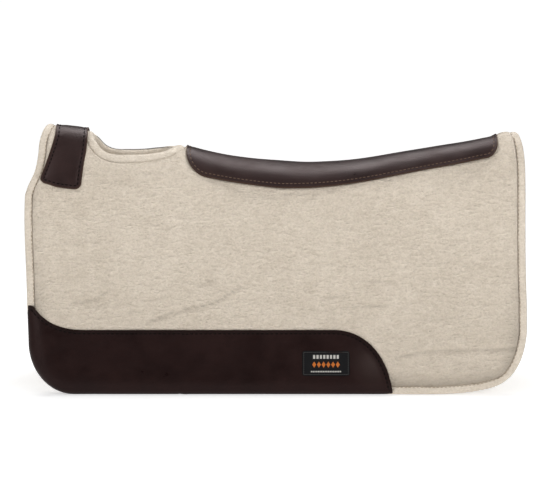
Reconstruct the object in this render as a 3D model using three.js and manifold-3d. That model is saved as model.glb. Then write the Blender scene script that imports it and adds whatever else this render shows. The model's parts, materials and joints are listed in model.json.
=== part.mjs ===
// Contoured western saddle pad: two padded felt halves sewn along the spine, with leather facings.
// Millimetres. +Z up, X along the horse's back with the withers at -X, the horse's left side at -Y.
// The origin is on the surface that the pad stands on, midway between its two bottom edges.
//
// Places on the pad are given on its middle surface: x along the back, s the distance down from the
// crest, and d the distance out from the middle surface. Below the fold line the sides are flat.
import * as THREE from 'three';
import Module from 'manifold-3d';
import { mergeVertices } from 'three/addons/utils/BufferGeometryUtils.js';

const wasm = await Module();
wasm.setup();

// ---- driving dimensions ----
const HALF_LENGTH = 408;                           // half of the pad's length
const FOLD_Z = 316;                                // height of the line where each side folds
const FOLD_Y = 53;                                 // how far that line is from the centre
const LEAN = THREE.MathUtils.degToRad(13.2);       // lean of the flat sides
const HALF_THICK = 12.5;                           // half of the padded thickness
const FELT_THICK = 4.85;                           // top felt and lining felt
const LEATHER_THICK = 2.5;
const GAP = 0.3;                                   // clearance between pieces that touch
const CREST_ROUND = 28;                            // how far the section runs level from the crest
const SHOULDER = 0.55;                             // share of the drop that the section falls straight
const EDGE_WIDTH = 13;                             // width of the edge binding
const EDGE_HALF_THICK = 8;
const SEAM_GAP = 0.8;                              // between the padded panels and the edge binding
const CURVED_GAP = 1.3;                            // between the curved felt and the leather over it
const TAPE_GAP = 2.2;                              // between the lining and the seam tape under it
const LIP_WIDTH = 14.5;                              // width of the binding round the wither opening
const THREAD_WIDTH = 1.2;
const THREAD_HEIGHT = 0.7;
const OUTER_FOLD_GAP = 3.1;                        // half of the clearance at the fold in the top felt
const FOLD_GAP = 2.4;                              // and in the layers inside it
const PLUG_PLAY = 3;                               // how far the felt stops short of the opening's binding
const TAPE_HALF_WIDTH = 14;
const SPINE_TAPE = [-140, 380];                    // where each tape starts and ends along the back
const WITHER_TAPE = [-358, -314];
const STITCH_INSET = 8;
const STRAP_STITCH_INSET = 7;

const LEAN_SIN = Math.sin(LEAN);
const LEAN_COS = Math.cos(LEAN);
const LEAN_TAN = Math.tan(LEAN);

// the layers, each from its inner to its outer face
const LINING = [-HALF_THICK, -HALF_THICK + FELT_THICK];
const CORE = [LINING[1] + GAP, HALF_THICK - FELT_THICK - GAP];
const TOP_FELT = [HALF_THICK - FELT_THICK, HALF_THICK];
const LEATHER = [HALF_THICK + GAP, HALF_THICK + GAP + LEATHER_THICK];
const UNDER_LEATHER = [-LEATHER[1], -LEATHER[0]];
const CROWN_LEATHER = [HALF_THICK + CURVED_GAP, HALF_THICK + CURVED_GAP + LEATHER_THICK];
const UNDER_CROWN = [-HALF_THICK - TAPE_GAP - LEATHER_THICK, -HALF_THICK - TAPE_GAP];
const EDGE = [-EDGE_HALF_THICK, EDGE_HALF_THICK];
const ON_EDGE = [EDGE_HALF_THICK + GAP, EDGE_HALF_THICK + GAP + THREAD_HEIGHT];
const ON_LEATHER = [LEATHER[1] + GAP, LEATHER[1] + GAP + THREAD_HEIGHT];
const ON_CROWN_LEATHER = [CROWN_LEATHER[1] + 3 * GAP, CROWN_LEATHER[1] + 3 * GAP + THREAD_HEIGHT];

// the top of the padded felt along the back: [x, z]
const CREST_LINE = [
  [-380, 430.5], [-355, 425], [-325, 421], [-290, 420.5], [-225, 409], [-158, 397], [-120, 383],
  [-58, 370.8], [50, 362.3], [124, 366], [223, 381.3], [350, 404], [374, 414.5], [410, 417],
];
// the front and rear edges above the fold: [share of the way from crest to fold, x]
const CROWN_FRONT = [[0, -373], [0.14, -380], [0.3, -385], [0.5, -387], [0.7, -392], [0.88, -402], [1, -407]];
const CROWN_REAR = [[0, 399], [0.17, 403.5], [0.35, 406.5], [0.6, HALF_LENGTH], [1, HALF_LENGTH]];

// the wither opening: half of its outline, [x, s]
const OPENING = [
  [-300, 0], [-295, 19], [-283, 37], [-268, 43], [-240, 39.5], [-200, 31], [-175, 20], [-161, 0],
];

const SPINE = { front: -145, rear: 364, corner: 32 };
// half of the spine leather's width along the back: [x, s]
const SPINE_HALF_WIDTH = [
  [-145, 57], [-100, 57.5], [0, 62.5], [50, 61.5], [128, 57.5], [228, 49.5], [330, 43], [364, 42],
];

const STRAP = { reach: 107, corner: 10 };
// the wither strap's front and rear edges: [s, x]
const STRAP_FRONT = [[0, -359], [25, -359.5], [65, -370], [112, -383]];
const STRAP_REAR = [[0, -306.5], [37, -306.5], [74, -312], [112, -316]];

// the front edge of each side: where it meets the fold, the wear leather's tip and the rounded corner
const FRONT_FOLD_X = -407;
const FRONT_TIP_X = -401.5;
const FRONT_CORNER = { x: -398.5, z: 84, width: 74.5 };
const REAR_BOTTOM_X = 250;                         // where the bottom edge starts to rise to the rear corner
const REAR_CORNER_END = { x: HALF_LENGTH - 0.5, z: 98 };

const WEAR_TOP = 103;                              // height of the wear leather's straight top edge
const WEAR_TIP = 141;                              // height of its tip on the front edge
const WEAR_REAR = 190;                             // where it ends on the bottom edge
const WEAR_STITCH_INSET = 7.5;
const WEAR_TURN_IN = 25;                           // how far it is turned up on the inside
const LABEL = { x: 82, z: 51, width: 76, height: 39, thick: 0.8, stitch: 2.5 };

const FELT_COLOUR = 0xd9cfbe;
const LINING_COLOUR = 0xcfc5b2;
const CORE_COLOUR = 0xb9b2a6;
const LEATHER_COLOUR = 0x2e1d1b;
const THREAD_COLOUR = 0x4a2f26;
const LABEL_COLOUR = 0x151416;

const group = new THREE.Group();
const SIDES = { left: -1, right: 1 };

// ---- helpers ----

// a smooth curve through [x, value] pairs, read at x
function along(points, x) {
  const last = points.length - 1;
  if (x <= points[0][0]) return points[0][1];
  if (x >= points[last][0]) return points[last][1];
  const i = points.findIndex((p) => p[0] > x) - 1;
  const slope = (a, b) => (points[b][1] - points[a][1]) / (points[b][0] - points[a][0]);
  const before = slope(Math.max(i - 1, 0), i + 1);
  const after = slope(i, Math.min(i + 2, last));
  const width = points[i + 1][0] - points[i][0];
  const t = (x - points[i][0]) / width;
  const rest = 1 - t;
  return points[i][1] * (1 + 2 * t) * rest * rest + points[i + 1][1] * (3 - 2 * t) * t * t
    + before * width * t * rest * rest - after * width * t * t * rest;
}

// the middle surface's section at x, from the crest to the fold line
function section(x) {
  const crest = along(CREST_LINE, x) - HALF_THICK;
  const fall = SHOULDER * (crest - FOLD_Z);
  const curve = new THREE.CubicBezierCurve(
    new THREE.Vector2(0, crest),
    new THREE.Vector2(CREST_ROUND, crest),
    new THREE.Vector2(FOLD_Y - fall * LEAN_SIN, FOLD_Z + fall * LEAN_COS),
    new THREE.Vector2(FOLD_Y, FOLD_Z),
  );
  curve.arcLengthDivisions = 60;
  return curve;
}

// the point at x, s from the crest (negative on the left) and d from the middle surface
function onCrown(x, s, d) {
  const curve = section(x);
  const length = curve.getLength();
  const share = Math.min(Math.abs(s) / length, 1);
  const beyond = Math.max(Math.abs(s) - length, 0);
  const p = curve.getPointAt(share);
  const t = curve.getTangentAt(share);
  const y = p.x + beyond * t.x - d * t.y;
  return new THREE.Vector3(x, s < 0 ? -y : y, p.y + beyond * t.y + d * t.x);
}

// where a crown layer's face at depth d stops, so that its end is level and `gap` above the fold
function foldEnd(x, d, gap) {
  return section(x).getLength() - (gap - d * LEAN_SIN) / LEAN_COS;
}

// turns a closed geometry so that its faces point out
function facingOut(geometry) {
  const p = geometry.attributes.position;
  const order = geometry.index ? Array.from(geometry.index.array) : [...Array(p.count).keys()];
  const [a, b, c] = [new THREE.Vector3(), new THREE.Vector3(), new THREE.Vector3()];
  let volume = 0;
  for (let i = 0; i < order.length; i += 3) {
    a.fromBufferAttribute(p, order[i]);
    b.fromBufferAttribute(p, order[i + 1]);
    c.fromBufferAttribute(p, order[i + 2]);
    volume += a.dot(b.cross(c));
  }
  if (volume < 0) {
    for (let i = 0; i < order.length; i += 3) [order[i], order[i + 1]] = [order[i + 1], order[i]];
  }
  geometry.setIndex(order);
  return geometry;
}

// a closed sheet of columns by rows cells: place(i, j, face) is a corner, face 0 inside and 1 outside
function sheet(columns, rows, place, closed = false) {
  const corners = [];
  const across = closed ? columns : columns + 1;
  for (let face = 0; face < 2; face++) {
    for (let i = 0; i < across; i++) {
      for (let j = 0; j <= rows; j++) corners.push(place(i, j, face));
    }
  }
  const at = (i, j, face) => (face * across + (i % across)) * (rows + 1) + j;
  const index = [];
  const quad = (a, b, c, d) => index.push(a, b, c, a, c, d);
  for (let i = 0; i < columns; i++) {
    for (let j = 0; j < rows; j++) {
      quad(at(i, j, 1), at(i + 1, j, 1), at(i + 1, j + 1, 1), at(i, j + 1, 1));
      quad(at(i, j, 0), at(i, j + 1, 0), at(i + 1, j + 1, 0), at(i + 1, j, 0));
    }
    quad(at(i, 0, 0), at(i + 1, 0, 0), at(i + 1, 0, 1), at(i, 0, 1));
    quad(at(i, rows, 0), at(i, rows, 1), at(i + 1, rows, 1), at(i + 1, rows, 0));
  }
  for (let j = 0; j < rows && !closed; j++) {
    quad(at(0, j, 0), at(0, j, 1), at(0, j + 1, 1), at(0, j + 1, 0));
    quad(at(columns, j, 0), at(columns, j + 1, 0), at(columns, j + 1, 1), at(columns, j, 1));
  }
  const geometry = new THREE.BufferGeometry().setFromPoints(corners);
  geometry.setIndex(index);
  return facingOut(geometry);
}

// a strip of the given width and layer along a route of [x, s] points on the crown
function crownStrip(route, width, layer, closed = false) {
  const sides = [moved(route, width / 2, closed), moved(route, -width / 2, closed)];
  const place = (i, j, face) => onCrown(sides[j][i].x, sides[j][i].y, layer[face]);
  return sheet(closed ? route.length : route.length - 1, 1, place, closed);
}

// a route of points moved sideways, to its left as it runs
function moved(route, distance, closed = false) {
  const last = route.length - 1;
  return route.map((p, i) => {
    const before = closed ? route[(i + last) % route.length] : route[Math.max(i - 1, 0)];
    const after = closed ? route[(i + 1) % route.length] : route[Math.min(i + 1, last)];
    const run = new THREE.Vector2().subVectors(after, before).normalize();
    return new THREE.Vector2(p.x - run.y * distance, p.y + run.x * distance);
  });
}

// a flat plate on one side of the pad: a shape in x and z, through the given layer
function sidePlate(shape, layer, side) {
  const geometry = new THREE.ExtrudeGeometry(shape, {
    depth: layer[1] - layer[0], bevelEnabled: false, curveSegments: 10,
  });
  const foot = FOLD_Y + FOLD_Z * LEAN_TAN + layer[0] / LEAN_COS;
  geometry.applyMatrix4(new THREE.Matrix4().set(
    1, 0, 0, 0,
    0, -side * LEAN_TAN, side / LEAN_COS, side * foot,
    0, 1, 0, 0,
    0, 0, 0, 1,
  ));
  return facingOut(geometry);
}

const shapeOf = (points) => new THREE.Shape(points);

// the plate between a route and the same route moved by a width
function stripShape(route, width) {
  return shapeOf([...route, ...moved(route, width).reverse()]);
}

function toManifold(geometry) {
  const plain = geometry.clone();
  plain.deleteAttribute('normal');
  plain.deleteAttribute('uv');
  const merged = mergeVertices(plain, 1e-4);
  return new wasm.Manifold(new wasm.Mesh({
    numProp: 3,
    vertProperties: new Float32Array(merged.attributes.position.array),
    triVerts: new Uint32Array(merged.index.array),
  }));
}

function fromManifold(solid) {
  const mesh = solid.getMesh();
  const geometry = new THREE.BufferGeometry();
  geometry.setAttribute('position', new THREE.BufferAttribute(mesh.vertProperties, 3));
  geometry.setIndex(new THREE.BufferAttribute(mesh.triVerts, 1));
  return geometry;
}

function addPart(name, geometry, colour, roughness = 0.95) {
  const material = new THREE.MeshStandardMaterial({ color: colour, roughness, metalness: 0 });
  const mesh = new THREE.Mesh(geometry, material);
  mesh.name = name;
  group.add(mesh);
}

// ---- outlines ----

// continues a path down the front edge and round the front corner, at a distance inside the outline
function frontCorner(path, inset) {
  const { x, z, width } = FRONT_CORNER;
  path.lineTo(x + inset, z);
  path.absellipse(x + width, z, width - inset, z - inset, Math.PI, 1.5 * Math.PI, false, 0);
}

// one side's outline below the fold, from the fold at the front, round the bottom, to the fold behind
function sideOutline(top) {
  const path = new THREE.Path();
  path.moveTo(FRONT_FOLD_X, top);
  path.bezierCurveTo(-410, 270, -403, 200, FRONT_TIP_X, WEAR_TIP);
  frontCorner(path, 0);
  path.lineTo(WEAR_REAR, 0);
  path.lineTo(REAR_BOTTOM_X, 0);
  path.bezierCurveTo(300, 0.5, 335, 5, 357, 13);
  path.bezierCurveTo(385, 24, 403, 52, REAR_CORNER_END.x, REAR_CORNER_END.z);
  path.lineTo(HALF_LENGTH, 140);
  path.bezierCurveTo(406.5, 200, 406.5, 240, HALF_LENGTH, top);
  return path.getPoints(9);
}

// the part of a route that runs between its nearest points to two places
function between(route, from, to) {
  const nearest = (place) => route.reduce(
    (best, p, i) => (p.distanceTo(place) < route[best].distanceTo(place) ? i : best), 0);
  return route.slice(nearest(from), nearest(to) + 1);
}

const frontTop = new THREE.Vector2(FRONT_FOLD_X, FOLD_Z);
const wearTip = new THREE.Vector2(FRONT_TIP_X, WEAR_TIP);
const wearEnd = new THREE.Vector2(WEAR_REAR, 0);
const rearTop = new THREE.Vector2(HALF_LENGTH, FOLD_Z);

// the felt layers stop at the binding, and inside the leather where it turns under the edge
function feltOutline(top, edgeInset) {
  const outline = sideOutline(top);
  const front = moved(between(outline, frontTop, wearTip), edgeInset);
  const bottom = moved(between(outline, wearTip, wearEnd), LEATHER_THICK + GAP);
  const rear = moved(between(outline, wearEnd, rearTop), edgeInset);
  return shapeOf([...front, ...bottom, ...rear]);
}

// the wear leather's upper edge, from the bottom edge to its tip on the front edge
function wearUpperEdge() {
  const path = new THREE.Path();
  path.moveTo(WEAR_REAR, 0);
  path.bezierCurveTo(182, 68, 142, WEAR_TOP, 95, WEAR_TOP);
  path.lineTo(-312, WEAR_TOP);
  path.bezierCurveTo(-355, WEAR_TOP + 1, -375, 122, -392, WEAR_TIP - 2);
  path.lineTo(FRONT_TIP_X, WEAR_TIP);
  return path.getPoints(9);
}

// the opening's whole outline, round from its front on the left side
function openingLoop() {
  const half = OPENING.map(([x, s]) => new THREE.Vector2(x, s));
  const other = OPENING.slice(1, -1).map(([x, s]) => new THREE.Vector2(x, -s)).reverse();
  const curve = new THREE.SplineCurve([...half, ...other, half[0]]);
  return curve.getPoints(36).slice(0, -1);
}

// ---- the crown: what bridges the spine, above the fold lines ----

const CROWN_COLUMNS = 20;
const CROWN_ROWS = 8;

// half of one felt layer, from the seam on the crest to the fold, inside the edge bindings
function crownHalf(layer, side, foldGap) {
  const place = (i, j, face) => {
    const d = layer[face];
    const share = j / CROWN_ROWS;
    const u = i / CROWN_COLUMNS;
    const front = along(CROWN_FRONT, share) + EDGE_WIDTH + SEAM_GAP;
    const rear = along(CROWN_REAR, share) - EDGE_WIDTH - SEAM_GAP;
    const x = front + u * (rear - front);
    const s = GAP / 2 + share * (foldEnd(x, d, foldGap) - GAP / 2);
    const p = onCrown(x, side * s, d);
    if (j === 0) p.y = side * GAP / 2;
    return p;
  };
  return sheet(CROWN_COLUMNS, CROWN_ROWS, place);
}

// a plug of the opening's shape, a little larger than its binding, that cuts the felt layers
function openingPlug() {
  const loop = moved(openingLoop(), LIP_WIDTH + PLUG_PLAY, true);
  const half = loop.length / 2;
  const rows = 8;
  const tip = 0.6;                                 // half of the width of the plug's first and last columns
  const depth = HALF_THICK + 5;                    // far enough to pass through every layer
  const place = (i, j, face) => {
    const share = (2 * j) / rows - 1;
    const width = i === 0 || i === half ? tip : Math.abs(loop[i].y);
    return onCrown(loop[i].x, share * width, face ? depth : -depth);
  };
  return toManifold(sheet(half, rows, place));
}

const cutOpening = (geometry) => fromManifold(toManifold(geometry).subtract(openingPlug()));

function crownEdge(edge, inward) {
  const rows = 2 * CROWN_ROWS;
  const place = (i, j, face) => {
    const share = (2 * i) / rows - 1;
    const d = EDGE[face];
    const x = along(edge, Math.abs(share)) + j * inward * EDGE_WIDTH;
    return onCrown(x, share * foldEnd(x, d, FOLD_GAP), d);
  };
  return sheet(rows, 1, place);
}

function crownEdgeThread(edge, inward) {
  const steps = 2 * CROWN_ROWS;
  const route = [];
  for (let i = 0; i <= steps; i++) {
    const share = (2 * i) / steps - 1;
    const x = along(edge, Math.abs(share)) + inward * (EDGE_WIDTH - THREAD_WIDTH);
    route.push(new THREE.Vector2(x, share * foldEnd(x, ON_EDGE[1], OUTER_FOLD_GAP)));
  }
  return crownStrip(route, THREAD_WIDTH, ON_EDGE);
}

// the spine leather's outline at x: half of its width, with rounded ends
function spineHalfWidth(x, inset = 0) {
  const nearEnd = Math.min(x - SPINE.front, SPINE.rear - x) - inset;
  const corner = SPINE.corner - inset;
  const width = along(SPINE_HALF_WIDTH, x) - inset;
  if (nearEnd >= corner) return width;
  return width - corner + Math.sqrt(corner ** 2 - (corner - Math.max(nearEnd, 0)) ** 2);
}

// places along the spine leather, closer together at its rounded ends
function spineStations(inset) {
  const front = SPINE.front + inset;
  const rear = SPINE.rear - inset;
  const corner = SPINE.corner - inset;
  const turn = [0, 0.35, 0.7, 1.05].map((angle) => corner * (1 - Math.cos(angle)));
  const straight = 12;
  const length = rear - front - 2 * corner;
  const stations = turn.map((t) => front + t);
  for (let i = 0; i <= straight; i++) stations.push(front + corner + (i / straight) * length);
  return [...stations, ...turn.reverse().map((t) => rear - t)];
}

function spineLeather() {
  const stations = spineStations(0);
  const rows = 10;
  const place = (i, j, face) => {
    const half = spineHalfWidth(stations[i]);
    return onCrown(stations[i], half * (2 * j / rows - 1), CROWN_LEATHER[face]);
  };
  return sheet(stations.length - 1, rows, place);
}

function spineThread(inset) {
  const stations = spineStations(inset);
  const near = stations.map((x) => new THREE.Vector2(x, -spineHalfWidth(x, inset)));
  const far = stations.map((x) => new THREE.Vector2(x, spineHalfWidth(x, inset))).reverse();
  const endReach = (x) => spineHalfWidth(x, inset) - STITCH_INSET;
  const acrossEnd = (x) => [-1, -0.5, 0, 0.5, 1].map((t) => new THREE.Vector2(x, t * endReach(x)));
  const rearEnd = acrossEnd(SPINE.rear - inset);
  const frontEnd = acrossEnd(SPINE.front + inset).reverse();
  return crownStrip([...near, ...rearEnd, ...far, ...frontEnd], THREAD_WIDTH, ON_CROWN_LEATHER, true);
}

// the strap's edges at s from the crest, with rounded corners at its two ends
function strapEdges(s, inset = 0) {
  const left = STRAP.reach - inset - Math.abs(s);
  const corner = STRAP.corner - inset / 2;
  const cut = left < corner ? corner - Math.sqrt(Math.max(corner ** 2 - (corner - left) ** 2, 0)) : 0;
  return [along(STRAP_FRONT, Math.abs(s)) + inset + cut, along(STRAP_REAR, Math.abs(s)) - inset - cut];
}

function strapStations(inset) {
  const reach = STRAP.reach - inset;
  const stations = [0, 0.12, 0.25, 0.4, 0.55, 0.7, 0.82].map((t) => t * reach);
  const corner = STRAP.corner - inset / 2;
  for (const angle of [0, 0.5, 1.0, 1.45]) stations.push(reach - corner + corner * Math.sin(angle));
  return [...stations.slice(1).reverse().map((s) => -s), ...stations];
}

function witherStrap() {
  const stations = strapStations(0);
  const columns = 4;
  const place = (i, j, face) => {
    const [front, rear] = strapEdges(stations[i]);
    return onCrown(front + (j / columns) * (rear - front), stations[i], CROWN_LEATHER[face]);
  };
  return sheet(stations.length - 1, columns, place);
}

function strapThread(inset) {
  const stations = strapStations(inset);
  const front = stations.map((s) => new THREE.Vector2(strapEdges(s, inset)[0], s));
  const rear = stations.map((s) => new THREE.Vector2(strapEdges(s, inset)[1], s)).reverse();
  return crownStrip([...front, ...rear], THREAD_WIDTH, ON_CROWN_LEATHER, true);
}

function openingBinding() {
  const inner = openingLoop();
  const outer = moved(inner, LIP_WIDTH, true);
  const place = (i, j, face) => {
    const p = j === 0 ? inner[i] : outer[i];
    return onCrown(p.x, p.y, EDGE[face]);
  };
  return sheet(inner.length, 1, place, true);
}

function openingThread() {
  const route = moved(openingLoop(), LIP_WIDTH - THREAD_WIDTH, true);
  return crownStrip(route, THREAD_WIDTH, ON_EDGE, true);
}

// a tape under the crest that covers the seam between the two halves
function seamTape(from, to, columns) {
  const rows = 4;
  const place = (i, j, face) => onCrown(
    from + (i / columns) * (to - from), TAPE_HALF_WIDTH * (2 * j / rows - 1), UNDER_CROWN[face]);
  return sheet(columns, rows, place);
}

for (const [name, side] of Object.entries(SIDES)) {
  addPart(`${name}_crown_top_felt`, cutOpening(crownHalf(TOP_FELT, side, OUTER_FOLD_GAP)), FELT_COLOUR);
  addPart(`${name}_crown_core`, cutOpening(crownHalf(CORE, side, FOLD_GAP)), CORE_COLOUR);
  addPart(`${name}_crown_lining`, cutOpening(crownHalf(LINING, side, FOLD_GAP)), LINING_COLOUR);
}
addPart('front_crest_binding', crownEdge(CROWN_FRONT, 1), FELT_COLOUR);
addPart('rear_crest_binding', crownEdge(CROWN_REAR, -1), FELT_COLOUR);
addPart('front_crest_thread', crownEdgeThread(CROWN_FRONT, 1), THREAD_COLOUR);
addPart('rear_crest_thread', crownEdgeThread(CROWN_REAR, -1), THREAD_COLOUR);
addPart('opening_binding', openingBinding(), FELT_COLOUR);
addPart('opening_thread', openingThread(), THREAD_COLOUR);
addPart('wither_strap', witherStrap(), LEATHER_COLOUR, 0.5);
addPart('wither_strap_thread', strapThread(STRAP_STITCH_INSET), THREAD_COLOUR);
addPart('spine_leather', spineLeather(), LEATHER_COLOUR, 0.5);
addPart('spine_leather_thread', spineThread(STITCH_INSET), THREAD_COLOUR);
addPart('spine_seam_tape', seamTape(...SPINE_TAPE, 16), LINING_COLOUR);
addPart('wither_seam_tape', seamTape(...WITHER_TAPE, 3), LINING_COLOUR);

// ---- the two sides, below the fold lines ----

// leather over the front corner and bottom edge, turned under the edge and up the inside
function wearLeather(side) {
  const bottom = between(sideOutline(FOLD_Z), wearTip, wearEnd);
  const face = shapeOf([...bottom, ...wearUpperEdge().slice(1, -1)]);
  const rim = stripShape(bottom, LEATHER_THICK);
  const turnIn = stripShape(bottom, WEAR_TURN_IN);
  const solids = [
    sidePlate(face, LEATHER, side),
    sidePlate(rim, [UNDER_LEATHER[0], LEATHER[1]], side),
    sidePlate(turnIn, UNDER_LEATHER, side),
  ].map(toManifold);
  return fromManifold(solids[0].add(solids[1]).add(solids[2]));
}

// the seam that holds the wear leather, at an even distance inside its outline
function wearSeam(inset) {
  const path = new THREE.Path();
  path.moveTo(WEAR_REAR - 1.4 * inset, inset);
  path.bezierCurveTo(182 - inset, 66 - inset, 142 - inset, WEAR_TOP - inset, 95, WEAR_TOP - inset);
  path.lineTo(-312, WEAR_TOP - inset);
  path.bezierCurveTo(-355, WEAR_TOP - inset, -378, 122 - inset, -401 + inset, WEAR_TIP - 1.2 * inset);
  frontCorner(path, inset);
  return path.getPoints(9);
}

function wearThread(side) {
  const shape = shapeOf(wearSeam(WEAR_STITCH_INSET));
  shape.holes.push(new THREE.Path(wearSeam(WEAR_STITCH_INSET + THREAD_WIDTH)));
  return sidePlate(shape, ON_LEATHER, side);
}

function rectangle(halfWidth, halfHeight) {
  return [[-1, -1], [1, -1], [1, 1], [-1, 1]].map(
    ([a, b]) => new THREE.Vector2(LABEL.x + a * halfWidth, LABEL.z + b * halfHeight));
}

function labelPlate(side) {
  const depth = [LEATHER[1] + GAP, LEATHER[1] + GAP + LABEL.thick];
  return sidePlate(shapeOf(rectangle(LABEL.width / 2, LABEL.height / 2)), depth, side);
}

function labelThread(side) {
  const face = LEATHER[1] + 2 * GAP + LABEL.thick;
  const inset = LABEL.stitch;
  const shape = shapeOf(rectangle(LABEL.width / 2 - inset, LABEL.height / 2 - inset));
  const within = inset + THREAD_WIDTH;
  shape.holes.push(new THREE.Path(rectangle(LABEL.width / 2 - within, LABEL.height / 2 - within)));
  return sidePlate(shape, [face, face + THREAD_HEIGHT], side);
}

// edge bindings: down the front to the wear leather, and down the rear round to the wear leather
function sideEdge(side, from, to, top) {
  return sidePlate(stripShape(clearOfLeather(between(sideOutline(top), from, to)), EDGE_WIDTH), EDGE, side);
}

function sideEdgeThread(side, from, to, top) {
  const route = moved(clearOfLeather(between(sideOutline(top), from, to)), EDGE_WIDTH - 2 * THREAD_WIDTH);
  return sidePlate(stripShape(route, THREAD_WIDTH), ON_EDGE, side);
}

// a route shortened by the clearance where it meets the wear leather's turned edge
function clearOfLeather(route) {
  const short = route.map((p) => p.clone());
  if (short[0].distanceTo(wearEnd) < 1) short[0].x += GAP;
  const last = short[short.length - 1];
  if (last.distanceTo(wearTip) < 1) last.y += GAP;
  return short;
}

for (const [name, side] of Object.entries(SIDES)) {
  const inside = EDGE_WIDTH + SEAM_GAP;
  const outerTop = FOLD_Z - OUTER_FOLD_GAP;
  const top = FOLD_Z - FOLD_GAP;
  addPart(`${name}_top_felt`, sidePlate(feltOutline(outerTop, inside), TOP_FELT, side), FELT_COLOUR);
  addPart(`${name}_core`, sidePlate(feltOutline(top, inside), CORE, side), CORE_COLOUR);
  addPart(`${name}_lining`, sidePlate(feltOutline(top, inside), LINING, side), LINING_COLOUR);
  addPart(`${name}_front_binding`, sideEdge(side, frontTop, wearTip, top), FELT_COLOUR);
  addPart(`${name}_rear_binding`, sideEdge(side, wearEnd, rearTop, top), FELT_COLOUR);
  addPart(`${name}_front_thread`, sideEdgeThread(side, frontTop, wearTip, outerTop), THREAD_COLOUR);
  addPart(`${name}_rear_thread`, sideEdgeThread(side, wearEnd, rearTop, outerTop), THREAD_COLOUR);
  addPart(`${name}_wear_leather`, wearLeather(side), LEATHER_COLOUR, 0.5);
  addPart(`${name}_wear_leather_thread`, wearThread(side), THREAD_COLOUR);
  addPart(`${name}_label`, labelPlate(side), LABEL_COLOUR, 0.8);
  addPart(`${name}_label_thread`, labelThread(side), THREAD_COLOUR);
}

export default group;
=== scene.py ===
"""Contoured western saddle pad: felt halves, core, bindings, leather facings, stitching and labels.

Places on the pad are (x, s, d) in millimetres, as in the CAD model: x along the back, s the distance down
from the crest on the middle surface (negative on the horse's left side), d the distance out from it.
"""
import json
import math

import bmesh
import bpy
import numpy as np
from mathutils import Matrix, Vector


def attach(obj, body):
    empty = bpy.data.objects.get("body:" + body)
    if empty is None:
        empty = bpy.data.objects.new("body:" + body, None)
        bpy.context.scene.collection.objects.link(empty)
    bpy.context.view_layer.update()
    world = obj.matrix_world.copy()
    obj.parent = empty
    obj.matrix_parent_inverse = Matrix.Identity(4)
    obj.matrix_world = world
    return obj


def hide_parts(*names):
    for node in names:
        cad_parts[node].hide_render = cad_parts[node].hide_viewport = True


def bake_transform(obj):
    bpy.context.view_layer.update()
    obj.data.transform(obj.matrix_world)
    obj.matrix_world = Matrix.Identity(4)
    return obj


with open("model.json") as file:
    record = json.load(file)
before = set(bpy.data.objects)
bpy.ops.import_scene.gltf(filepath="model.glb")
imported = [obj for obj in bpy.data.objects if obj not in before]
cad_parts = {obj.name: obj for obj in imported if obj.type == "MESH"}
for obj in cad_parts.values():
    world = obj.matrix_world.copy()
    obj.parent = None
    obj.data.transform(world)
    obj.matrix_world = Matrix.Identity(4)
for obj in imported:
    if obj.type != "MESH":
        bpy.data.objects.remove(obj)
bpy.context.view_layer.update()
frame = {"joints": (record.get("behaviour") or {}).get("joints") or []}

MM = 0.001
SIDES = {"left": -1, "right": 1}

# ---- the pad's form, from the frame and the CAD model's driving dimensions ----
fold = frame["joints"][0]["pos_m"]
FOLD_Y = abs(fold[1]) / MM
FOLD_Z = fold[2] / MM
LEAN = math.radians(13.2)
LEAN_SIN, LEAN_COS, LEAN_TAN = math.sin(LEAN), math.cos(LEAN), math.tan(LEAN)
HALF_LENGTH = 408
HALF_THICK = 12.5
FELT_THICK = 4.8
LEATHER_THICK = 2.4
CREST_ROUND = 28
SHOULDER = 0.55
EDGE_WIDTH = 13
LIP_WIDTH = 14.5
CREST_LINE = [
    (-380, 434), (-366, 430), (-354, 425.5), (-325, 421.3), (-290, 421), (-225, 409), (-166, 400.5),
    (-153, 398), (-143, 391.5), (-120, 383), (-58, 370.8), (50, 362.3), (124, 366), (223, 381.3),
    (350, 403.5), (374, 414.5), (410, 418),
]
CROWN_FRONT = [(0, -373), (0.14, -380), (0.3, -385), (0.5, -387), (0.7, -392), (0.88, -402), (1, -407)]
CROWN_REAR = [(0, 399), (0.17, 403.5), (0.35, 406.5), (0.6, HALF_LENGTH), (1, HALF_LENGTH)]
OPENING = [(-300, 0), (-295, 19), (-283, 37), (-268, 43), (-240, 39.5), (-200, 31), (-175, 20), (-161, 0)]
SPINE_FRONT, SPINE_REAR = -145, 364
SPINE_FRONT_CORNER, SPINE_REAR_CORNER = 34, 18
SPINE_HALF_WIDTH = [
    (-145, 57), (-100, 57.5), (0, 62.5), (50, 61.5), (128, 57.5), (228, 49.5), (330, 43), (364, 42),
]
STRAP_REACH, STRAP_CORNER = 107, 10
STRAP_FRONT = [(0, -359), (25, -359.5), (65, -370), (112, -386)]
STRAP_REAR = [(0, -306.5), (37, -306.5), (74, -312), (112, -316)]
WEAR_TOP, WEAR_TIP, WEAR_REAR = 103, 141, 190
WEAR_TURN = 25
LABEL_X, LABEL_Z, LABEL_WIDTH, LABEL_HEIGHT = 82, 51, 76, 39
LEATHER_BASE = HALF_THICK + 0.3
DROP_RANGE = (25, 115)


# ---- curves and the pad's middle surface ----

def along(points, x):
    """A smooth curve through (x, value) pairs, read at x."""
    px, py = np.array(points, float).T
    last = len(px) - 1
    before = np.maximum(np.arange(len(px)) - 1, 0)
    after = np.minimum(np.arange(len(px)) + 1, last)
    slope = (py[after] - py[before]) / (px[after] - px[before])
    x = np.clip(x, px[0], px[-1])
    i = np.clip(np.searchsorted(px, x, "right") - 1, 0, last - 1)
    width = px[i + 1] - px[i]
    t = (x - px[i]) / width
    rest = 1 - t
    return (py[i] * (1 + 2 * t) * rest**2 + py[i + 1] * (3 - 2 * t) * t**2
            + slope[i] * width * t * rest**2 - slope[i + 1] * width * t**2 * rest)


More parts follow.
